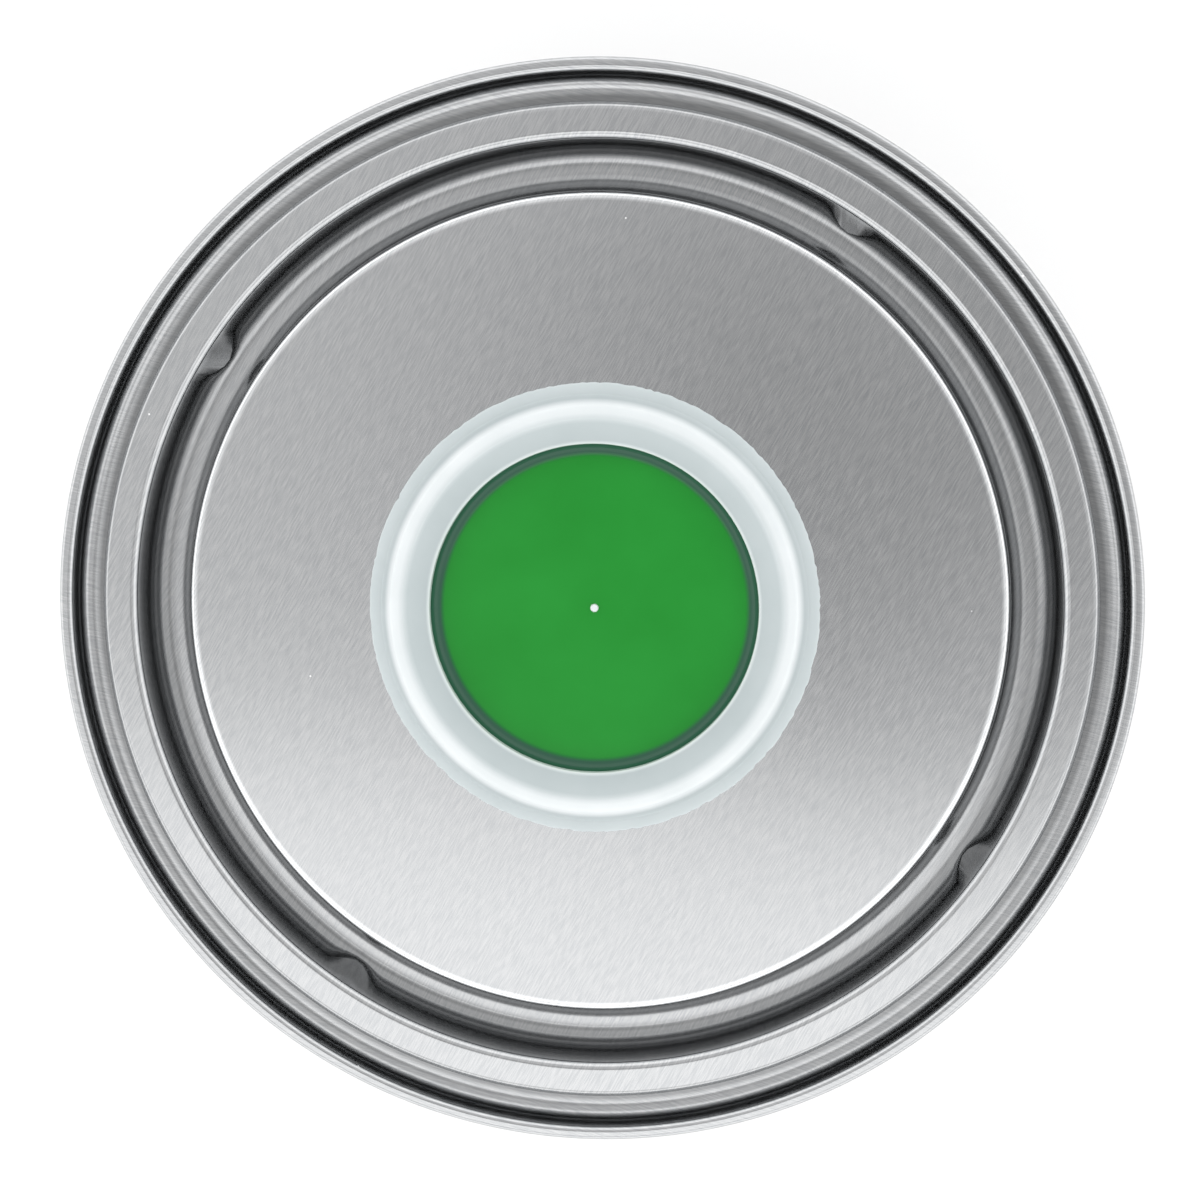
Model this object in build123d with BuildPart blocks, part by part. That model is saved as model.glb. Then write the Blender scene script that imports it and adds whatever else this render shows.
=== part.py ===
from build123d import *
import os

# A 0.75 litre round tinplate paint can: a welded body, a lever-lid ring and a bottom double-seamed
# to it, a lever lid pressed into the ring, and a see-through tinting plug pressed into the lid.
# Z = 0 is the plane that the bottom seam stands on, and the Z axis is the middle of the can.
# Every sheet is drawn as its middle line, in half section, and given its thickness on both sides.

# The whole can
can_height = 119.0
body_radius = 49.5
body_sheet = 0.20
end_sheet = 0.24
lid_sheet = 0.26
paint_below_top = 18.0

# The side weld, a thin raised strip between the two seams
weld_width = 0.8
weld_rise = 0.06
weld_end_gap = 0.4

# The double seams, alike at both ends
seam_height = 3.0
seam_gap = 0.03
seam_bend = 0.34
hem_bend = 0.23
cover_hook = 2.0
body_hook = 1.9
hook_bend = 0.18
compound_depth = 0.13

# The ring that the lid is pressed into
ring_depth = 3.0
ring_foot_bend = 1.50
collar_bend = 0.72
collar_depth = 8.6
collar_curl_width = 1.04
collar_curl_height = 0.90
collar_curl_bend = 0.51

# The lever lid
ledge_width = 2.72
flange_depth = 1.3
lid_curl_reach = 1.5
lid_curl_bend = 0.63
shoulder_bend = 0.53
flange_width = 3.12
lid_fit = 0.06
groove_depth = 7.1
groove_bend = 1.90
groove_width = 4.70
panel_bend = 0.63
panel_depth = 3.2

# The dimples pressed into the wall of the lid
dimple_count = 4
dimple_angle = 56.0
dimple_radius = 2.5
dimple_rise = 1.25
dimple_depth = 5.0

# The tinting hole
tint_hole_radius = 16.35
tint_lip_length = 1.5
tint_lip_bend = 0.43
tint_joint = 1.2

# The tinting plug
plug_fit = 0.05
plug_wall = 0.75
plug_length = 3.4
plug_flange_width = 5.0
plug_lip = 0.35
plug_lip_width = 1.15
plug_bead_reach = 2.2
plug_bead_width = 1.2
plug_bead_height = 1.35
plug_mouth_height = 0.35
plug_seat_width = 0.85
plug_skin = 0.75
plug_corner = 0.12
plug_edge_bend = 0.24
plug_bead_bend = 0.48
window_depth = 1.2
window_thickness = 0.5
window_bend = 1.1
gate_radius = 0.4
gate_height = 0.25
gate_taper = 15.0
film_thickness = 0.25
film_gap = 0.15

# The bottom
bottom_depth = 4.2
bottom_foot_bend = 0.78
bottom_panel_rise = 3.4
bottom_channel_width = 2.4
bottom_step_inset = 11.5
bottom_step_rise = 0.6
bottom_step_run = 1.2
bottom_bend = 0.60
paint_gap = 0.03

# Middle radii of a seam's layers, from the inside to the outside
half_body = body_sheet / 2
half_end = end_sheet / 2
half_lid = lid_sheet / 2
chuck_middle = body_radius - seam_gap - half_end
body_middle = body_radius + half_body
cover_hook_middle = body_middle + half_body + seam_gap + half_end
body_hook_middle = cover_hook_middle + half_end + seam_gap + half_body
seaming_middle = body_hook_middle + half_body + seam_gap + half_end

seam_bends = [hem_bend, hem_bend, seam_bend, seam_bend]
bottom_bends = [bottom_foot_bend, bottom_bend, bottom_bend, bottom_bend, bottom_bend]

# Heights of middle lines in the upper seam, which the lower seam mirrors
seam_roof = can_height - half_end
seam_hem = can_height - seam_height + half_end
cover_hook_tip = can_height - seam_height + cover_hook - half_end
body_top = can_height - end_sheet - compound_depth
body_hook_tip = body_top - body_hook + half_body

# Faces that several pieces share
lid_radius = body_radius - ledge_width
lid_wall_radius = lid_radius - flange_width
panel_radius = lid_wall_radius - groove_width
collar_inside = lid_wall_radius + lid_fit
panel_top = can_height - panel_depth
plug_radius = tint_hole_radius - plug_fit
cup_radius = plug_radius - plug_wall
plug_flange_radius = plug_radius + plug_flange_width
plug_bead_radius = plug_radius + plug_bead_reach
window_under = panel_top - window_depth - window_thickness


with BuildPart() as body_shell:
    with BuildSketch(Plane.XZ):
        with BuildLine():
            FilletPolyline(
                (body_hook_middle, can_height - body_hook_tip),
                (body_hook_middle, can_height - body_top + half_body),
                (body_middle, can_height - body_top + half_body),
                (body_middle, body_top - half_body),
                (body_hook_middle, body_top - half_body),
                (body_hook_middle, body_hook_tip),
                radius=hook_bend,
            )
            offset(amount=half_body)
        make_face()
    revolve(axis=Axis.Z)
    weld_start = seam_height + weld_end_gap
    with BuildSketch(Plane.XY.offset(weld_start)):
        with Locations((0, body_middle + weld_rise / 2)):
            Rectangle(weld_width, weld_rise + body_sheet)
    extrude(amount=can_height - 2 * weld_start)
body_shell.part.label = "body_shell"


collar_middle = collar_inside + half_end
collar_foot = can_height - collar_depth + half_end

with BuildPart() as top_ring:
    with BuildSketch(Plane.XZ):
        with BuildLine():
            FilletPolyline(
                (cover_hook_middle, cover_hook_tip),
                (cover_hook_middle, seam_hem),
                (seaming_middle, seam_hem),
                (seaming_middle, seam_roof),
                (chuck_middle, seam_roof),
                (chuck_middle, can_height - ring_depth - half_end),
                (collar_middle, can_height - ring_depth - half_end),
                (collar_middle, collar_foot),
                (collar_middle + collar_curl_width, collar_foot),
                (collar_middle + collar_curl_width, collar_foot - half_end + collar_curl_height),
                radius=[*seam_bends, ring_foot_bend, collar_bend, collar_curl_bend, collar_curl_bend],
            )
            offset(amount=half_end)
        make_face()
    revolve(axis=Axis.Z)
top_ring.part.label = "top_ring"


# The middle line of the bottom, from the seam to the middle of the can
bottom_channel = chuck_middle - bottom_channel_width
bottom_step_radius = body_radius - bottom_step_inset
bottom_line = [
    (chuck_middle, bottom_depth + half_end),
    (bottom_channel, bottom_depth + half_end),
    (bottom_channel - bottom_step_run, bottom_panel_rise + half_end),
    (bottom_step_radius + bottom_step_run, bottom_panel_rise + half_end),
    (bottom_step_radius, bottom_panel_rise + bottom_step_rise + half_end),
    (0, bottom_panel_rise + bottom_step_rise + half_end),
]

with BuildPart() as bottom_end:
    with BuildSketch(Plane.XZ):
        with BuildLine():
            FilletPolyline(
                (cover_hook_middle, can_height - cover_hook_tip),
                (cover_hook_middle, can_height - seam_hem),
                (seaming_middle, can_height - seam_hem),
                (seaming_middle, half_end),
                (chuck_middle, half_end),
                *bottom_line,
                radius=[*seam_bends, *bottom_bends],
            )
            offset(amount=half_end)
        make_face()
        split(bisect_by=Plane.YZ)
    revolve(axis=Axis.Z)
bottom_end.part.label = "bottom_end"


# Sealing compound, between the turned-over edge of the body and the roof of the seam
compound_inside = chuck_middle + seam_bend
compound_outside = seaming_middle - seam_bend

with BuildPart() as top_compound:
    with BuildSketch(Plane.XY.offset(body_top)):
        Circle(compound_outside)
        Circle(compound_inside, mode=Mode.SUBTRACT)
    extrude(amount=compound_depth)
top_compound.part.label = "top_seam_compound"

with BuildPart() as bottom_compound:
    with BuildSketch(Plane.XY.offset(end_sheet)):
        Circle(compound_outside)
        Circle(compound_inside, mode=Mode.SUBTRACT)
    extrude(amount=compound_depth)
bottom_compound.part.label = "bottom_seam_compound"


# The paint lies on the bottom, so its bed is the bottom's own line, moved up to the inside face
bed_rise = half_end + paint_gap
paint_level = can_height - paint_below_top

with BuildPart() as paint_fill:
    with BuildSketch(Plane.XZ):
        with BuildLine():
            bed = FilletPolyline(
                (body_radius, paint_level),
                (body_radius, bottom_depth + half_end + bed_rise),
                *[(r, z + bed_rise) for r, z in bottom_line[1:]],
                radius=[0, *bottom_bends[1:]],
            )
            Polyline(bed @ 1, (0, paint_level), bed @ 0)
        make_face()
    revolve(axis=Axis.Z)
paint_fill.part.label = "paint_fill"


# A dimple is pushed in from outside, so it is a bulge of the wall with a hollow behind it
dimple_middle = lid_wall_radius - lid_sheet - dimple_rise + dimple_radius
dimple_place = (dimple_middle, 0, can_height - dimple_depth)

with BuildPart() as dimple_hollow:
    with Locations(dimple_place):
        Sphere(dimple_radius - lid_sheet)
    with BuildSketch():
        Circle(lid_wall_radius + lid_sheet)
    extrude(amount=can_height, mode=Mode.INTERSECT)

with BuildPart() as dimple_bulge:
    with Locations(dimple_place):
        Sphere(dimple_radius)
    with BuildSketch():
        Circle(lid_wall_radius - half_lid)
    extrude(amount=can_height, mode=Mode.INTERSECT)

with BuildPart() as lever_lid:
    with BuildSketch(Plane.XZ):
        with BuildLine():
            FilletPolyline(
                (lid_radius - lid_curl_reach, can_height - ring_depth + half_lid),
                (lid_radius - half_lid, can_height - ring_depth + half_lid),
                (lid_radius - half_lid, can_height - flange_depth - half_lid),
                (lid_wall_radius - half_lid, can_height - flange_depth - half_lid),
                (lid_wall_radius - half_lid, can_height - groove_depth - half_lid),
                (panel_radius - half_lid, can_height - groove_depth - half_lid),
                (panel_radius - half_lid, panel_top - half_lid),
                (0, panel_top - half_lid),
                radius=[lid_curl_bend, lid_curl_bend, shoulder_bend, groove_bend, groove_bend, panel_bend],
            )
            offset(amount=half_lid)
        make_face()
        split(bisect_by=Plane.YZ)
    revolve(axis=Axis.Z)
    with PolarLocations(0, dimple_count, start_angle=dimple_angle):
        add(dimple_bulge.part)
    with PolarLocations(0, dimple_count, start_angle=dimple_angle):
        add(dimple_hollow.part, mode=Mode.SUBTRACT)
    with BuildSketch(Plane.XY.offset(panel_top)):
        Circle(tint_hole_radius + lid_sheet + tint_joint)
    extrude(amount=-lid_sheet, mode=Mode.SUBTRACT)
    with BuildSketch(Plane.XZ):
        with BuildLine():
            FilletPolyline(
                (tint_hole_radius + 2 * lid_sheet + tint_joint, panel_top - half_lid),
                (tint_hole_radius + half_lid, panel_top - half_lid),
                (tint_hole_radius + half_lid, panel_top - tint_lip_length + half_lid),
                radius=tint_lip_bend,
            )
            offset(amount=half_lid)
        make_face()
    revolve(axis=Axis.Z)
lever_lid.part.label = "lever_lid"


# The underside of the plug's flange follows its top, so that its wall stays even
bead_inside = plug_bead_radius - plug_bead_width / 2
bead_outside = plug_bead_radius + plug_bead_width / 2
lip_inside = plug_flange_radius - plug_lip_width

with BuildPart() as tint_plug:
    with BuildSketch(Plane.XZ):
        with BuildLine():
            skin = FilletPolyline(
                (0, panel_top - window_depth),
                (cup_radius, panel_top - window_depth),
                (cup_radius, panel_top + plug_mouth_height),
                (bead_inside, panel_top + plug_bead_height),
                (bead_outside, panel_top + plug_bead_height),
                (lip_inside, panel_top + plug_lip),
                (plug_flange_radius, panel_top + plug_lip),
                (plug_flange_radius, panel_top),
                (lip_inside, panel_top),
                (bead_outside, panel_top + plug_bead_height - plug_skin),
                (bead_inside, panel_top + plug_bead_height - plug_skin),
                (plug_radius + plug_seat_width, panel_top),
                (plug_radius, panel_top),
                (plug_radius, panel_top - plug_length),
                (cup_radius, panel_top - plug_length),
                (cup_radius, window_under),
                (0, window_under),
                radius=[
                    window_bend,
                    plug_edge_bend,
                    plug_bead_bend,
                    plug_bead_bend,
                    plug_edge_bend,
                    plug_corner,
                    plug_corner,
                    plug_corner,
                    plug_corner,
                    plug_corner,
                    plug_corner,
                    plug_corner,
                    plug_edge_bend,
                    plug_edge_bend,
                    plug_corner,
                ],
            )
            Line(skin @ 0, skin @ 1)
        make_face()
    revolve(axis=Axis.Z)
    with BuildSketch(Plane.XY.offset(panel_top - window_depth)):
        Circle(gate_radius)
    extrude(amount=gate_height, taper=gate_taper)
tint_plug.part.label = "tint_plug"


with BuildPart() as paint_film:
    with BuildSketch(Plane.XY.offset(window_under - film_thickness)):
        Circle(cup_radius - film_gap)
    extrude(amount=film_thickness)
paint_film.part.label = "paint_film"


os.makedirs("parts", exist_ok=True)
for piece in (
    body_shell,
    top_ring,
    bottom_end,
    top_compound,
    bottom_compound,
    paint_fill,
    lever_lid,
    tint_plug,
    paint_film,
):
    export_step(piece.part, f"parts/{piece.part.label}.step")
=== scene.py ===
from math import atan2, ceil, cos, hypot, pi, radians, sin, tan

import bpy
from mathutils import Matrix, Vector, noise as field


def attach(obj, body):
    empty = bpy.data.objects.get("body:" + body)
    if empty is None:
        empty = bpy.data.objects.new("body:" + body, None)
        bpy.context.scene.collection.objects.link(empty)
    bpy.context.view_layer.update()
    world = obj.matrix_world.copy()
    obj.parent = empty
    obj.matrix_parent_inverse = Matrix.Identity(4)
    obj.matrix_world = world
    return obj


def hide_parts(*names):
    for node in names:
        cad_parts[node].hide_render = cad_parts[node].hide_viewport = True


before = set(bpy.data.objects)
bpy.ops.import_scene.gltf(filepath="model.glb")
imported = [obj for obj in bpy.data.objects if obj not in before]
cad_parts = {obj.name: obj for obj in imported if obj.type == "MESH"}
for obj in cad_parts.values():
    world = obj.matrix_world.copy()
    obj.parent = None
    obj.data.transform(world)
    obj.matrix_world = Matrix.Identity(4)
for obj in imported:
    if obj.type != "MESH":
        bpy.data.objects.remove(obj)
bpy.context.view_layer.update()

MM = 0.001

# The can, as it is pressed, rolled and seamed
CAN_HEIGHT = 119.0 * MM
BODY_RADIUS = 49.5 * MM
BODY_SHEET = 0.20 * MM
END_SHEET = 0.24 * MM
LID_SHEET = 0.26 * MM
PAINT_LEVEL = CAN_HEIGHT - 18.0 * MM
WELD_WIDTH = 0.8 * MM
WELD_RISE = 0.06 * MM
WELD_END_GAP = 0.4 * MM

# Double seams
SEAM_HEIGHT = 3.0 * MM
SEAM_GAP = 0.03 * MM
SEAM_BEND = 0.34 * MM
HEM_BEND = 0.23 * MM
HOOK_BEND = 0.18 * MM
COVER_HOOK = 2.0 * MM
BODY_HOOK = 1.9 * MM
COMPOUND_DEPTH = 0.13 * MM

# The ring under the lid
RING_DEPTH = 3.0 * MM
RING_FOOT_BEND = 1.50 * MM
COLLAR_BEND = 0.72 * MM
COLLAR_DEPTH = 8.6 * MM
CURL_WIDTH = 1.04 * MM
CURL_HEIGHT = 0.90 * MM
CURL_BEND = 0.51 * MM

# The lever lid
LID_RADIUS = BODY_RADIUS - 2.72 * MM
FLANGE_DEPTH = 1.3 * MM
LID_CURL_REACH = 1.5 * MM
LID_CURL_BEND = 0.63 * MM
SHOULDER_BEND = 0.53 * MM
LID_WALL_RADIUS = LID_RADIUS - 3.12 * MM
LID_FIT = 0.06 * MM
GROOVE_DEPTH = 7.1 * MM
GROOVE_BEND = 1.90 * MM
PANEL_RADIUS = LID_WALL_RADIUS - 4.70 * MM
PANEL_BEND = 0.63 * MM
PANEL_DEPTH = 3.2 * MM
DIMPLES = 4
DIMPLE_ANGLE = radians(56)
DIMPLE_DEPTH = 5.0 * MM
DIMPLE_RISE = 1.25 * MM
DIMPLE_REACH = 2.7 * MM
DIMPLE_FADE = 1.5 * MM

# The tinting hole and its plug
TINT_HOLE = 16.35 * MM
TINT_LIP = 1.5 * MM
TINT_LIP_BEND = 0.43 * MM
PLUG_FIT = 0.05 * MM
PLUG_WALL = 0.75 * MM
PLUG_LENGTH = 3.4 * MM
PLUG_FLANGE = TINT_HOLE - PLUG_FIT + 5.0 * MM
PLUG_LIP = 0.35 * MM
PLUG_LIP_WIDTH = 1.15 * MM
PLUG_BEAD = TINT_HOLE - PLUG_FIT + 2.2 * MM
PLUG_BEAD_WIDTH = 1.2 * MM
PLUG_BEAD_HEIGHT = 1.35 * MM
PLUG_MOUTH = 0.35 * MM
PLUG_SEAT = 0.85 * MM
PLUG_SKIN = 0.75 * MM
WINDOW_DEPTH = 1.2 * MM
WINDOW_THICK = 0.5 * MM
WINDOW_BEND = 1.1 * MM
GATE_RADIUS = 0.4 * MM
GATE_HEIGHT = 0.25 * MM
FILM_THICK = 0.25 * MM
FILM_GAP = 0.15 * MM
GATE_TIP = 0.33 * MM
FLASH = 0.10 * MM

# The bottom
BOTTOM_DEPTH = 4.2 * MM
BOTTOM_FOOT_BEND = 0.78 * MM
BOTTOM_RISE = 3.4 * MM
BOTTOM_CHANNEL = 2.4 * MM
BOTTOM_STEP_RADIUS = BODY_RADIUS - 11.5 * MM
BOTTOM_STEP_RISE = 0.6 * MM
BOTTOM_STEP_RUN = 1.2 * MM
BOTTOM_BEND = 0.60 * MM
PAINT_GAP = 0.03 * MM

# Middle radii of the seams' layers
CHUCK = BODY_RADIUS - SEAM_GAP - END_SHEET / 2
BODY = BODY_RADIUS + BODY_SHEET / 2
COVER = BODY + BODY_SHEET / 2 + SEAM_GAP + END_SHEET / 2
HOOK = COVER + END_SHEET / 2 + SEAM_GAP + BODY_SHEET / 2
SEAMING = HOOK + BODY_SHEET / 2 + SEAM_GAP + END_SHEET / 2

# Heights
SEAM_ROOF = CAN_HEIGHT - END_SHEET / 2
SEAM_HEM = CAN_HEIGHT - SEAM_HEIGHT + END_SHEET / 2
COVER_TIP = CAN_HEIGHT - SEAM_HEIGHT + COVER_HOOK
BODY_TOP = CAN_HEIGHT - END_SHEET - COMPOUND_DEPTH
PANEL_TOP = CAN_HEIGHT - PANEL_DEPTH
CUP = TINT_HOLE - PLUG_FIT - PLUG_WALL
WINDOW_TOP = PANEL_TOP - WINDOW_DEPTH

# How finely round things are cut
TURN_STEPS = 256
LID_STEPS = 336
WALL_STEPS = 14
PANEL_STEPS = 5
ARC_STEPS = 10
SUPPORT = 0.08 * MM
WELD = 0.001 * MM
SMOOTH_ANGLE = radians(40)


# ---- making shapes ----

def bent(corners, bends):
    """Points along a line of straight runs and round bends, with a close point either side of each bend."""
    points = [Vector(corners[0])]
    for before, corner, after, bend in zip(corners, corners[1:], corners[2:], bends):
        corner = Vector(corner)
        back = (Vector(before) - corner).normalized()
        ahead = (Vector(after) - corner).normalized()
        half = back.angle(ahead) / 2
        tangent = bend / tan(half)
        centre = corner + (back + ahead).normalized() * bend / sin(half)
        turn = pi - 2 * half
        steps = max(3, ceil(ARC_STEPS * turn / (pi / 2)))
        start = corner + back * tangent - centre
        side = 1 if ahead.cross(back) > 0 else -1
        points.append(corner + back * (tangent + SUPPORT))
        for step in range(steps + 1):
            angle = side * turn * step / steps
            across = start.x * cos(angle) - start.y * sin(angle)
            up = start.x * sin(angle) + start.y * cos(angle)
            points.append(centre + Vector((across, up)))
        points.append(corner + ahead * (tangent + SUPPORT))
    points.append(Vector(corners[-1]))
    return points


def bare(points):
    """The points without those that a crowded bend doubles back over."""
    kept = [points[0]]
    for point, after in zip(points[1:], points[2:] + [None]):
        step = point - kept[-1]
        if step.length < WELD:
            continue
        if after is not None and len(kept) > 1 and step.dot(kept[-1] - kept[-2]) < 0:
            continue
        kept.append(point)
    return kept


def lathe(name, outline, steps=TURN_STEPS):
    """A mesh turned about the can's axis from an outline of radii and heights."""
    bpy.ops.object.select_all(action="DESELECT")
    first = outline[0]
    bpy.ops.mesh.primitive_plane_add(size=MM, location=(first.x, 0, first.y))
    piece = bpy.context.object
    piece.name = name
    bpy.ops.object.transform_apply(location=True, rotation=False, scale=False)
    bpy.ops.object.mode_set(mode="EDIT")
    bpy.ops.mesh.select_all(action="SELECT")
    bpy.ops.mesh.merge(type="CENTER")
    for start, end in zip(outline, outline[1:]):
        step = (end.x - start.x, 0, end.y - start.y)
        bpy.ops.mesh.extrude_region_move(TRANSFORM_OT_translate={"value": step})
    bpy.ops.mesh.select_all(action="SELECT")
    bpy.ops.mesh.spin(steps=steps, angle=2 * pi, center=(0, 0, 0), axis=(0, 0, 1))
    bpy.ops.mesh.select_all(action="SELECT")
    bpy.ops.mesh.remove_doubles(threshold=WELD)
    bpy.ops.mesh.normals_make_consistent(inside=False)
    bpy.ops.object.mode_set(mode="OBJECT")
    return piece


def modify(piece, kind, **settings):
    """Adds a modifier with its settings and applies it."""
    modifier = piece.modifiers.new(kind.title(), kind)
    for setting, value in settings.items():
        setattr(modifier, setting, value)
    bpy.ops.object.select_all(action="DESELECT")
    piece.select_set(True)
    bpy.context.view_layer.objects.active = piece
    bpy.ops.object.modifier_apply(modifier=modifier.name)


def smooth(piece):
    """Rounds the shading, except over sharp edges."""
    bpy.ops.object.select_all(action="DESELECT")
    piece.select_set(True)
    bpy.context.view_layer.objects.active = piece
    bpy.ops.object.shade_smooth_by_angle(angle=SMOOTH_ANGLE)


def spaced(start, end, steps):
    """The points that divide a straight run, without its ends."""
    return [Vector(start).lerp(Vector(end), step / steps) for step in range(1, steps)]


def ease(share):
    """A soft step from 0 to 1."""
    share = min(1, max(0, share))
    return share * share * (3 - 2 * share)


def press_sheet(piece, thickness):
    """Gives a turned middle line the thickness of its sheet."""
    modify(piece, "SOLIDIFY", thickness=thickness, offset=0, use_even_offset=True)
    smooth(piece)


def place(piece, body, nodes, material):
    """Puts a finished piece on its body in place of its CAD nodes, with its finish."""
    piece.data.materials.clear()
    piece.data.materials.append(material)
    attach(piece, body)
    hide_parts(*nodes)


# ---- materials ----

class Tap:
    """One output of a node tree, on which sums and products can be written."""

    def __init__(self, tree, socket=None):
        self.tree = tree
        self.socket = socket

    def make(self, kind, settings=None, inputs=None, output=0):
        """Adds a node, sets it up, fills its inputs and returns one of its outputs."""
        node = self.tree.nodes.new(kind)
        for setting, value in (settings or {}).items():
            if setting == "stops":
                ramp = node.color_ramp
                while len(ramp.elements) < len(value):
                    ramp.elements.new(1)
                for element, (position, color) in zip(ramp.elements, value):
                    element.position = position
                    element.color = color
            else:
                setattr(node, setting, value)
        for name, value in (inputs or {}).items():
            if isinstance(value, Tap):
                self.tree.links.new(value.socket, node.inputs[name])
            else:
                node.inputs[name].default_value = value
        return Tap(self.tree, node.outputs[output])

    def maths(self, operation, *values):
        return self.make("ShaderNodeMath", {"operation": operation}, dict(enumerate(values)))

    def __add__(self, other):
        return self.maths("ADD", self, other)

    def __sub__(self, other):
        return self.maths("SUBTRACT", self, other)

    def __rsub__(self, other):
        return self.maths("SUBTRACT", other, self)

    def __mul__(self, other):
        return self.maths("MULTIPLY", self, other)

    __radd__ = __add__
    __rmul__ = __mul__

    def rises(self, low, high):
        """0 below low and 1 above high, with a soft step between."""
        return self.make(
            "ShaderNodeMapRange", {"interpolation_type": "SMOOTHSTEP"},
            {"Value": self, "From Min": low, "From Max": high},
        )

    def to(self, low, high):
        """The same number stretched from 0..1 to low..high."""
        return self * (high - low) + low


def material(name, uniform):
    """A new material with a Principled shader, its uniform values set on the shader itself."""
    made = bpy.data.materials.new(name)
    made.use_nodes = True
    shader = made.node_tree.nodes["Principled BSDF"]
    for socket, value in uniform.items():
        shader.inputs[socket].default_value = value
    return made, shader, Tap(made.node_tree)


def place_on(tap, size=(1, 1, 1), turn=0):
    """The point's own place on the object, along turned axes, in steps of a size."""
    here = tap.make("ShaderNodeTexCoord", output="Object")
    return tap.make("ShaderNodeMapping", {"vector_type": "TEXTURE"},
                    {"Vector": here, "Rotation": (0, 0, turn), "Scale": size})


def even(size):
    return (size, size, size)


def noise(tap, vector, detail=2, roughness=0.5):
    return tap.make("ShaderNodeTexNoise", None,
                    {"Vector": vector, "Scale": 1, "Detail": detail, "Roughness": roughness})


def axes(tap, vector, names):
    """The named parts of a vector, each as its own output."""
    return [tap.make("ShaderNodeSeparateXYZ", None, {"Vector": vector}, output=axis) for axis in names]


def mixed(tap, share, one, other, blend="MIX"):
    """Two colours mixed by a share."""
    return tap.make("ShaderNodeMix", {"data_type": "RGBA", "blend_type": blend},
                    {0: share, 6: one, 7: other}, output=2)


def from_axis(tap):
    """How far a point is from the can's axis."""
    x, y = axes(tap, place_on(tap), "XY")
    return tap.maths("SQRT", x * x + y * y)


GRAIN_TURN = radians(60)
GRAIN_ALONG = 1.7 * MM
GRAIN_ACROSS = 0.13 * MM
TIN_DARK = (0.43, 0.44, 0.45, 1)
TIN_LIGHT = (0.53, 0.535, 0.54, 1)
DUST_GREY = (0.9, 0.9, 0.9, 1)
HEAT_BLUE = (0.25, 0.26, 0.30, 1)
GREEN_DARK = (0.003, 0.20, 0.012, 1)
GREEN_LIGHT = (0.010, 0.26, 0.025, 1)
# painted shade for the window's edge, where the cup's wall meets it
GREEN_PAINTED_SHADE = (0.02, 0.085, 0.05, 1)
MILK_CLOUD = (0.86, 0.88, 0.88, 1)
LATEX_DARK = (0.55, 0.50, 0.42, 1)
LATEX_LIGHT = (0.70, 0.66, 0.58, 1)

# Painted shade and painted highlight across a pressed ring, multiplied into the tinplate's colour:
# millimetres outwards from its start, and the tone there (below 1 is painted shade, above 1 painted
# highlight)
# The ring's trough: painted shade beside the lid's edge and along the seam's inner wall
RING_PAINTED_SHADE_TONES = [(0, 0.5), (1.0, 0.52), (1.5, 1.0), (1.9, 0.9), (2.5, 0.85), (3.4, 0.85)]
RING_PAINTED_SHADE_SETUP = (LID_RADIUS - 0.4 * MM, RING_PAINTED_SHADE_TONES, CAN_HEIGHT - 0.9 * MM, CAN_HEIGHT - 0.3 * MM)
# The lid's groove: painted highlight on the panel's rounded rim, then painted shade down into the groove
GROOVE_PAINTED_LIGHT_TONES = [
    (0, 1.0), (0.3, 1.6), (0.8, 1.6), (1.1, 0.5),
    (1.6, 0.85), (3.2, 0.95), (4.0, 0.76), (5.0, 0.62),
]
GROOVE_PAINTED_LIGHT_SETUP = (PANEL_RADIUS - 1.0 * MM, GROOVE_PAINTED_LIGHT_TONES, CAN_HEIGHT - 2.8 * MM, CAN_HEIGHT - 2.0 * MM)

# Painted highlights and painted shade on the plug, as colours from the mouth of its cup out to its lip
PLUG_PAINTED_LIGHT_TONES = [
    (0.00, (0.70, 0.74, 0.74, 1)), (0.06, (0.44, 0.49, 0.50, 1)), (0.34, (0.48, 0.53, 0.54, 1)),
    (0.50, (0.72, 0.75, 0.76, 1)), (0.66, (0.76, 0.79, 0.80, 1)), (0.74, (0.47, 0.52, 0.53, 1)),
    (0.84, (0.53, 0.58, 0.59, 1)), (1.00, (0.56, 0.61, 0.62, 1)),
]


def dust(tap, here, share):
    """Specks of dust, one in some of the cells of a scattering."""
    near = tap.make("ShaderNodeTexVoronoi", None, {"Vector": here, "Scale": 1, "Randomness": 1})
    cell = tap.make("ShaderNodeTexVoronoi", None, {"Vector": here, "Scale": 1, "Randomness": 1}, output=1)
    lot = tap.make("ShaderNodeSeparateColor", None, {"Color": cell}, output=0)
    return (1 - near.rises(0.012, 0.03)) * lot.rises(1 - share, 1 - share + 0.01)


def painted_shading(tap, start, stops, floor, roof):
    """Painted shade and painted highlight across a pressed ring, as a tone by distance from the axis, and how
    much it counts, which fades out from floor to roof.
    """
    reach = stops[-1][0] * MM
    across = tap.make("ShaderNodeMapRange", None,
                      {"Value": from_axis(tap), "From Min": start, "From Max": start + reach})
    ramp = [(out / stops[-1][0], (painted_tone, painted_tone, painted_tone, 1)) for out, painted_tone in stops]
    painted_tone = tap.make("ShaderNodeValToRGB", {"stops": ramp}, {"Fac": across})
    [height] = axes(tap, place_on(tap), "Z")
    return painted_tone, 1 - height.rises(floor, roof)


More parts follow.
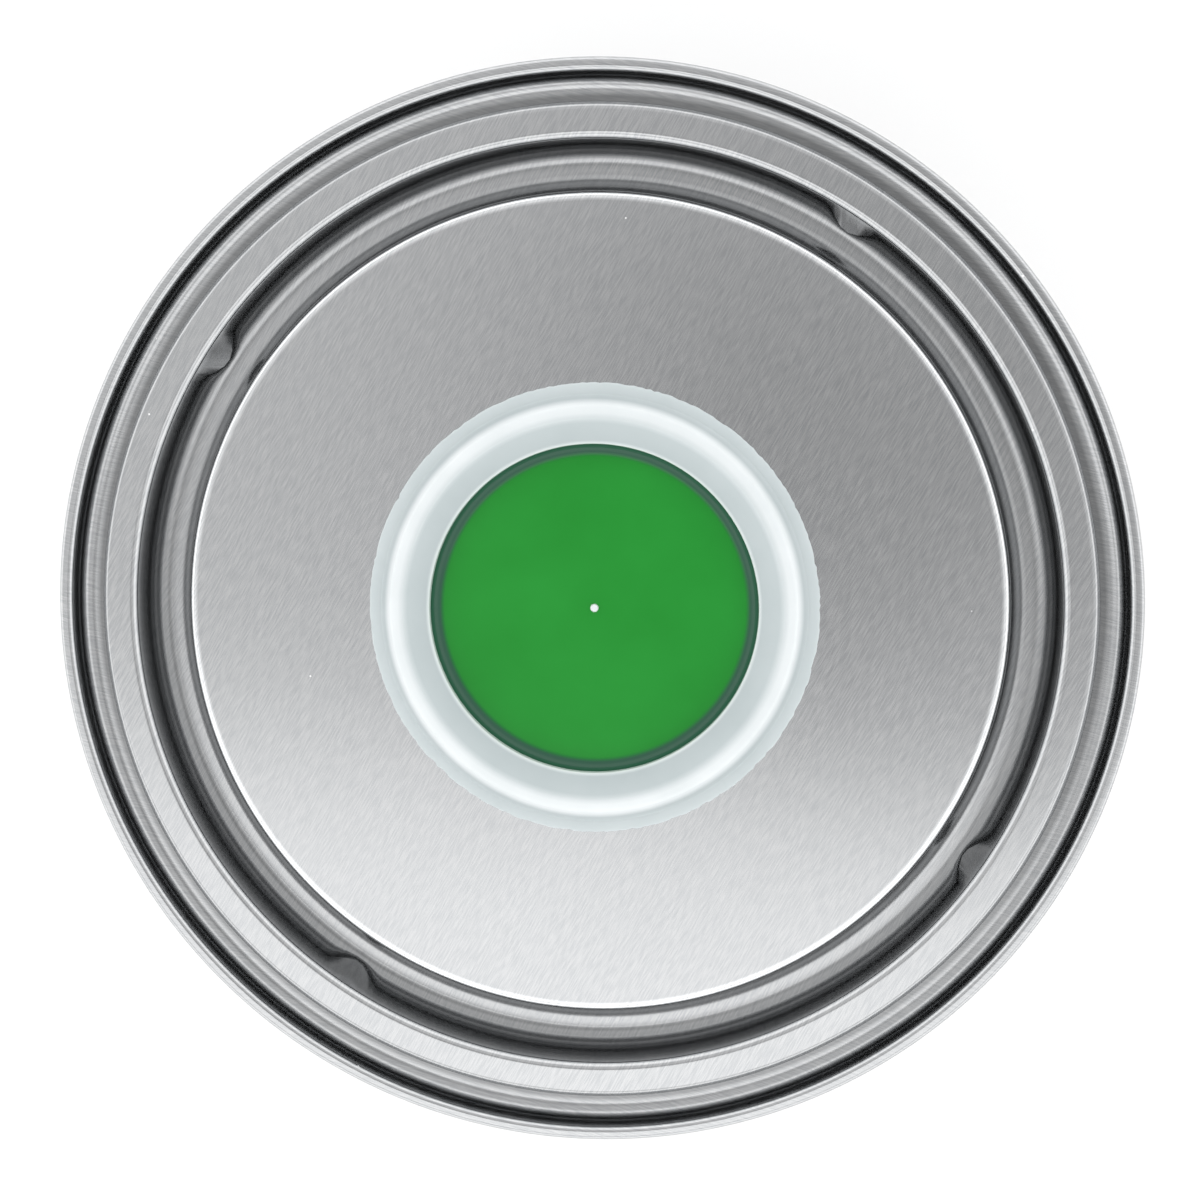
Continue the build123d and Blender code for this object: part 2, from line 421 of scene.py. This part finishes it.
def tinplate_finish(name, around=False, turn=GRAIN_TURN, ring=None):
    """Rolled tinplate: a bright metal with a fine straight grain of short streaks; with ring given, painted
    shade and painted highlight across a pressed ring are multiplied into its colour.
    """
    made, shader, tap = material(name, {"Metallic": 1.0, "IOR": 1.5})
    if around:
        x, y, z = axes(tap, place_on(tap), "XYZ")
        way = tap.maths("ARCTAN2", x, y)
        wound = {"X": way * (BODY_RADIUS / GRAIN_ALONG), "Z": z * (1 / GRAIN_ACROSS)}
        here = tap.make("ShaderNodeCombineXYZ", None, wound)
        heat = 1 - tap.maths("ABSOLUTE", way).rises(WELD_WIDTH / BODY_RADIUS, 2.5 * WELD_WIDTH / BODY_RADIUS)
    else:
        here = place_on(tap, (GRAIN_ALONG, GRAIN_ACROSS, GRAIN_ALONG), turn=turn)
        heat = None
    streaks = noise(tap, here, detail=3, roughness=0.6)
    cloud = noise(tap, place_on(tap, even(17 * MM)), detail=3)
    color = mixed(tap, streaks.rises(0.3, 0.7), TIN_DARK, TIN_LIGHT)
    specks = dust(tap, place_on(tap, even(4.5 * MM)), 0.4)
    color = mixed(tap, specks, color, DUST_GREY)
    if ring:
        # painted shade and painted highlight across the pressed ring
        painted_tone, painted_shade_share = painted_shading(tap, *ring)
        color = mixed(tap, painted_shade_share, color, painted_tone, "MULTIPLY")
    rough = streaks.to(0.15, 0.23) + cloud.to(-0.02, 0.02) + specks * 0.4
    if heat:
        color = mixed(tap, heat * 0.6, color, HEAT_BLUE)
        rough = rough + heat * 0.15
    bump = tap.make("ShaderNodeBump", None, {"Height": streaks, "Strength": 0.5, "Distance": 0.004 * MM})
    links = made.node_tree.links
    links.new(color.socket, shader.inputs["Base Color"])
    links.new(rough.socket, shader.inputs["Roughness"])
    links.new(bump.socket, shader.inputs["Normal"])
    return made


def polyethylene():
    """Milky natural polyethylene, with painted highlights and painted shade in its colour from the cup's
    mouth out to the lip.
    """
    made, shader, tap = material("milky_polyethylene", {
        "Metallic": 0.0, "IOR": 1.5, "Subsurface Weight": 0.2, "Subsurface Scale": 0.8 * MM,
        "Subsurface Radius": (1.0, 1.0, 1.0), "Coat Weight": 0.6, "Coat Roughness": 0.12,
    })
    cloud = noise(tap, place_on(tap, even(4 * MM)), detail=4)
    across = tap.make("ShaderNodeMapRange", None,
                      {"Value": from_axis(tap), "From Min": CUP, "From Max": PLUG_FLANGE})
    # painted highlights and painted shade by distance from the axis
    painted_tone = tap.make("ShaderNodeValToRGB", {"stops": PLUG_PAINTED_LIGHT_TONES}, {"Fac": across})
    color = mixed(tap, cloud, painted_tone, MILK_CLOUD, "MULTIPLY")
    links = made.node_tree.links
    links.new(color.socket, shader.inputs["Base Color"])
    links.new(cloud.to(0.18, 0.3).socket, shader.inputs["Roughness"])
    return made


def window_finish():
    """The plug's thin glossy window, coloured as if green paint showed through it, with painted shade in a
    ring at its edge.
    """
    made, shader, tap = material("window_over_paint", {
        "Metallic": 0.0, "IOR": 1.5, "Specular IOR Level": 0.15, "Coat Weight": 0.35, "Coat Roughness": 0.03,
    })
    # painted shade in a ring at the window's edge
    painted_rim_shade = from_axis(tap).rises(CUP - 1.3 * MM, CUP - 0.7 * MM)
    cloud = noise(tap, place_on(tap, even(8 * MM)), detail=3)
    green = mixed(tap, cloud, GREEN_DARK, GREEN_LIGHT)
    color = mixed(tap, painted_rim_shade, green, GREEN_PAINTED_SHADE)
    links = made.node_tree.links
    links.new(color.socket, shader.inputs["Base Color"])
    links.new(cloud.to(0.3, 0.4).socket, shader.inputs["Roughness"])
    return made


def paint_finish():
    """Wet green gloss paint."""
    made, shader, tap = material("wet_green_paint", {
        "Metallic": 0.0, "IOR": 1.48, "Coat Weight": 1.0, "Coat Roughness": 0.02,
    })
    cloud = noise(tap, place_on(tap, even(11 * MM)), detail=3)
    green = mixed(tap, cloud, GREEN_DARK, GREEN_LIGHT)
    links = made.node_tree.links
    links.new(green.socket, shader.inputs["Base Color"])
    links.new(cloud.to(0.12, 0.2).socket, shader.inputs["Roughness"])
    return made


def compound_finish():
    """Matt sealing compound."""
    made, shader, tap = material("seam_compound", {"Metallic": 0.0})
    cloud = noise(tap, place_on(tap, even(1.1 * MM)), detail=3)
    color = mixed(tap, cloud, LATEX_DARK, LATEX_LIGHT)
    links = made.node_tree.links
    links.new(color.socket, shader.inputs["Base Color"])
    links.new(cloud.to(0.6, 0.8).socket, shader.inputs["Roughness"])
    return made


# ---- pieces ----

SEAM_BENDS = [HEM_BEND, HEM_BEND, SEAM_BEND, SEAM_BEND]


def make_body():
    low = CAN_HEIGHT - BODY_TOP + BODY_SHEET / 2
    high = BODY_TOP - BODY_SHEET / 2
    line = bent(
        [(HOOK, low - BODY_SHEET / 2 + BODY_HOOK), (HOOK, low), (BODY, low),
         (BODY, high), (HOOK, high), (HOOK, high + BODY_SHEET / 2 - BODY_HOOK)],
        [HOOK_BEND] * 4,
    )
    body = lathe("body_sheet", bare(line))
    press_sheet(body, BODY_SHEET)
    start = SEAM_HEIGHT + WELD_END_GAP
    bpy.ops.mesh.primitive_cube_add(size=1, location=(0, BODY + WELD_RISE / 2, CAN_HEIGHT / 2))
    weld = bpy.context.object
    weld.scale = (WELD_WIDTH, BODY_SHEET + WELD_RISE, CAN_HEIGHT - 2 * start)
    bpy.ops.object.transform_apply(location=True, rotation=False, scale=True)
    modify(weld, "BEVEL", width=WELD_RISE * 0.8, segments=3)
    smooth(weld)
    bpy.ops.object.select_all(action="DESELECT")
    weld.select_set(True)
    body.select_set(True)
    bpy.context.view_layer.objects.active = body
    bpy.ops.object.join()
    return body


def make_ring():
    floor = CAN_HEIGHT - RING_DEPTH - END_SHEET / 2
    collar = LID_WALL_RADIUS + LID_FIT + END_SHEET / 2
    foot = CAN_HEIGHT - COLLAR_DEPTH + END_SHEET / 2
    line = bent(
        [(COVER, COVER_TIP), (COVER, SEAM_HEM), (SEAMING, SEAM_HEM), (SEAMING, SEAM_ROOF), (CHUCK, SEAM_ROOF),
         (CHUCK, floor), (collar, floor), (collar, foot), (collar + CURL_WIDTH, foot),
         (collar + CURL_WIDTH, foot - END_SHEET / 2 + CURL_HEIGHT)],
        SEAM_BENDS + [RING_FOOT_BEND, COLLAR_BEND, CURL_BEND, CURL_BEND],
    )
    ring = lathe("lid_ring", bare(line))
    press_sheet(ring, END_SHEET)
    return ring


def bottom_line(lift=0):
    """The bottom's middle line from the seam to the middle of the can, moved up by lift."""
    channel = CHUCK - BOTTOM_CHANNEL
    base = END_SHEET / 2 + lift
    return [
        (CHUCK, BOTTOM_DEPTH + base),
        (channel, BOTTOM_DEPTH + base),
        (channel - BOTTOM_STEP_RUN, BOTTOM_RISE + base),
        (BOTTOM_STEP_RADIUS + BOTTOM_STEP_RUN, BOTTOM_RISE + base),
        (BOTTOM_STEP_RADIUS, BOTTOM_RISE + BOTTOM_STEP_RISE + base),
        (0, BOTTOM_RISE + BOTTOM_STEP_RISE + base),
    ]


def make_bottom():
    line = bent(
        [(COVER, CAN_HEIGHT - COVER_TIP), (COVER, CAN_HEIGHT - SEAM_HEM), (SEAMING, CAN_HEIGHT - SEAM_HEM),
         (SEAMING, END_SHEET / 2), (CHUCK, END_SHEET / 2)] + bottom_line(),
        SEAM_BENDS + [BOTTOM_FOOT_BEND] + [BOTTOM_BEND] * 4,
    )
    bottom = lathe("bottom_plate", bare(line))
    press_sheet(bottom, END_SHEET)
    return bottom


def dimple_push(co, wall):
    """How far the lid's wall is pushed in at a point, by the dimple nearest to it."""
    angle = atan2(co.y, co.x) - DIMPLE_ANGLE
    pitch = 2 * pi / DIMPLES
    angle = (angle + pitch / 2) % pitch - pitch / 2
    reach = hypot(angle * wall, co.z - (CAN_HEIGHT - DIMPLE_DEPTH))
    if reach > DIMPLE_REACH:
        return 0
    radius = hypot(co.x, co.y)
    if radius > wall + LID_SHEET:
        return 0
    dome = (1 - (reach / DIMPLE_REACH) ** 2) ** 1.5
    return DIMPLE_RISE * dome * ease(1 - (wall - radius) / DIMPLE_FADE)


def make_lid():
    seat = CAN_HEIGHT - RING_DEPTH + LID_SHEET / 2
    flange = CAN_HEIGHT - FLANGE_DEPTH - LID_SHEET / 2
    groove = CAN_HEIGHT - GROOVE_DEPTH - LID_SHEET / 2
    panel = PANEL_TOP - LID_SHEET / 2
    edge = LID_RADIUS - LID_SHEET / 2
    wall = LID_WALL_RADIUS - LID_SHEET / 2
    inner = PANEL_RADIUS - LID_SHEET / 2
    lip = TINT_HOLE + LID_SHEET / 2
    line = bent(
        [(LID_RADIUS - LID_CURL_REACH, seat), (edge, seat), (edge, flange), (wall, flange),
         (wall, groove), (inner, groove), (inner, panel), (lip, panel), (lip, PANEL_TOP - TINT_LIP)],
        [LID_CURL_BEND, LID_CURL_BEND, SHOULDER_BEND, GROOVE_BEND, GROOVE_BEND, PANEL_BEND, TINT_LIP_BEND],
    )
    full = []
    for point, after in zip(line, line[1:] + [line[-1]]):
        full.append(point)
        if point.x == after.x == wall:
            full += spaced(point, after, WALL_STEPS)
        elif point.y == after.y == panel:
            full += spaced(point, after, PANEL_STEPS)
    lid = lathe("pressed_lid", bare(full), steps=LID_STEPS)
    for vertex in lid.data.vertices:
        co = vertex.co
        radius = hypot(co.x, co.y)
        push = dimple_push(co, wall)
        co.xy -= co.xy / radius * push
    press_sheet(lid, LID_SHEET)
    return lid


def make_plug():
    bead_in = PLUG_BEAD - PLUG_BEAD_WIDTH / 2
    bead_out = PLUG_BEAD + PLUG_BEAD_WIDTH / 2
    lip_in = PLUG_FLANGE - PLUG_LIP_WIDTH
    under = WINDOW_TOP - WINDOW_THICK
    outside = TINT_HOLE - PLUG_FIT
    corner = 0.12 * MM
    line = bent(
        [(0, WINDOW_TOP + GATE_HEIGHT), (GATE_TIP, WINDOW_TOP + GATE_HEIGHT), (GATE_RADIUS, WINDOW_TOP),
         (CUP, WINDOW_TOP), (CUP, PANEL_TOP + PLUG_MOUTH),
         (bead_in, PANEL_TOP + PLUG_BEAD_HEIGHT), (bead_out, PANEL_TOP + PLUG_BEAD_HEIGHT),
         (lip_in, PANEL_TOP + PLUG_LIP), (PLUG_FLANGE, PANEL_TOP + PLUG_LIP), (PLUG_FLANGE, PANEL_TOP),
         (lip_in, PANEL_TOP), (bead_out, PANEL_TOP + PLUG_BEAD_HEIGHT - PLUG_SKIN),
         (bead_in, PANEL_TOP + PLUG_BEAD_HEIGHT - PLUG_SKIN), (outside + PLUG_SEAT, PANEL_TOP),
         (outside, PANEL_TOP), (outside, PANEL_TOP - PLUG_LENGTH), (CUP, PANEL_TOP - PLUG_LENGTH),
         (CUP, under), (0, under)],
        [corner / 2, corner / 3, WINDOW_BEND, 2 * corner, 4 * corner, 4 * corner, 2 * corner]
        + [corner] * 7 + [2 * corner] * 2 + [corner],
    )
    plug = lathe("tinting_plug", bare(line), steps=LID_STEPS)
    for vertex in plug.data.vertices:
        out = vertex.co.xy
        if out.length > lip_in:
            coarse = field.noise(Vector((out.x, out.y, 0)) / MM)
            fine = field.noise(Vector((out.x, out.y, MM)) * 3 / MM)
            ragged = coarse + fine / 2
            share = (out.length - lip_in) / PLUG_LIP_WIDTH
            vertex.co.xy -= out.normalized() * FLASH * share * abs(ragged) * 2
    smooth(plug)
    return plug


def make_film():
    top = WINDOW_TOP - WINDOW_THICK
    edge = CUP - FILM_GAP
    corner = 0.08 * MM
    line = bent([(0, top), (edge, top), (edge, top - FILM_THICK), (0, top - FILM_THICK)], [corner, corner])
    film = lathe("paint_coat", bare(line))
    smooth(film)
    return film


def make_paint():
    lift = END_SHEET / 2 + PAINT_GAP
    bed = bottom_line(lift)[1:]
    line = bent(
        [(0, PAINT_LEVEL), (BODY_RADIUS, PAINT_LEVEL), (BODY_RADIUS, bed[0][1])] + bed,
        [0.2 * MM, 0.2 * MM] + [BOTTOM_BEND] * 4,
    )
    paint = lathe("paint", bare(line))
    smooth(paint)
    return paint


tin_body = tinplate_finish("tinplate_body", around=True)
# The end's ring trough and the lid's groove carry painted shade and painted highlight in their colour
tin_end = tinplate_finish("tinplate_end_painted_shade", turn=radians(-15), ring=RING_PAINTED_SHADE_SETUP)
tin_lid = tinplate_finish("tinplate_lid_painted_light", ring=GROOVE_PAINTED_LIGHT_SETUP)
milky = polyethylene()
window = window_finish()
wet_paint = paint_finish()
latex = compound_finish()

place(make_body(), "can", ["body_shell"], tin_body)
place(make_ring(), "can", ["top_ring"], tin_end)
place(make_bottom(), "can", ["bottom_end"], tin_end)
place(make_lid(), "lid", ["lever_lid"], tin_lid)
plug = make_plug()
place(plug, "plug", ["tint_plug"], milky)
plug.data.materials.append(window)
for face in plug.data.polygons:
    reach = face.center.xy.length
    if GATE_RADIUS < reach < CUP - 0.02 * MM and face.normal.z > 0.05:
        face.material_index = 1
place(make_film(), "plug", ["paint_film"], wet_paint)
place(make_paint(), "can", ["paint_fill"], wet_paint)
for node in ("top_seam_compound", "bottom_seam_compound"):
    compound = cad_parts[node]
    compound.data.materials.clear()
    compound.data.materials.append(latex)


# ---- camera, floor and light ----

TILT = radians(7.16)
LEAN = radians(51)
REACH = 180 * MM
FRAME_WIDTH = 111.0 * MM
AIM = Vector((0.89 * MM, 1.19 * MM, CAN_HEIGHT))


def make_camera():
    away = Vector((sin(TILT) * cos(LEAN), sin(TILT) * sin(LEAN), cos(TILT)))
    data = bpy.data.cameras.new("camera")
    camera = bpy.data.objects.new("camera", data)
    bpy.context.collection.objects.link(camera)
    right = Vector((1, 0, 0)) - away * away.x
    right.normalize()
    up = away.cross(right)
    turn = Matrix((right, up, away)).transposed().to_4x4()
    camera.matrix_world = Matrix.Translation(AIM + away * REACH) @ turn
    data.sensor_width = 36
    data.lens = 36 * REACH / FRAME_WIDTH
    data.clip_start = 0.01
    data.clip_end = 20
    bpy.context.scene.camera = camera


def make_floor():
    bpy.ops.object.select_all(action="DESELECT")
    bpy.ops.mesh.primitive_plane_add(size=6, location=(0, 0, 0))
    floor = bpy.context.object
    floor.name = "floor"
    made = material("floor", {
        "Roughness": 0.9, "Base Color": (0.80, 0.80, 0.80, 1),
        "Emission Color": (1, 1, 1, 1), "Emission Strength": 0.10,
    })[0]
    floor.data.materials.append(made)


ROOM_GLOW = 1.7
CEILING_GLOW = 0.92
CEILING_DROP = 0.44


def make_sky():
    """A white room with a dimmer patch of ceiling straight above, that ends short of the near side."""
    world = bpy.data.worlds.new("studio")
    world.use_nodes = True
    bpy.context.scene.world = world
    tap = Tap(world.node_tree)
    way = tap.make("ShaderNodeTexCoord", output="Generated")
    x, y = axes(tap, way, "XY")
    near = 1 - (y + x * 0.112).rises(-0.215, -0.175)
    core_x = x - 0.054
    core_y = y + 0.009
    core = 1 - tap.maths("SQRT", core_x * core_x + core_y * core_y).rises(0.02, 0.33)
    out = tap.maths("SQRT", x * x + y * y)
    near = near * (1 - out.rises(0.5, 0.65))
    open_wall = tap.maths("MAXIMUM", near, out.rises(0.66, 0.82))
    dim = CEILING_GLOW - core * CEILING_DROP
    glow = dim + open_wall * (ROOM_GLOW - dim)
    back = world.node_tree.nodes["Background"]
    world.node_tree.links.new(glow.socket, back.inputs["Strength"])
    back.inputs["Color"].default_value = (1, 1, 1, 1)


make_camera()
make_floor()
make_sky()
bpy.context.scene.view_settings.view_transform = "Standard"
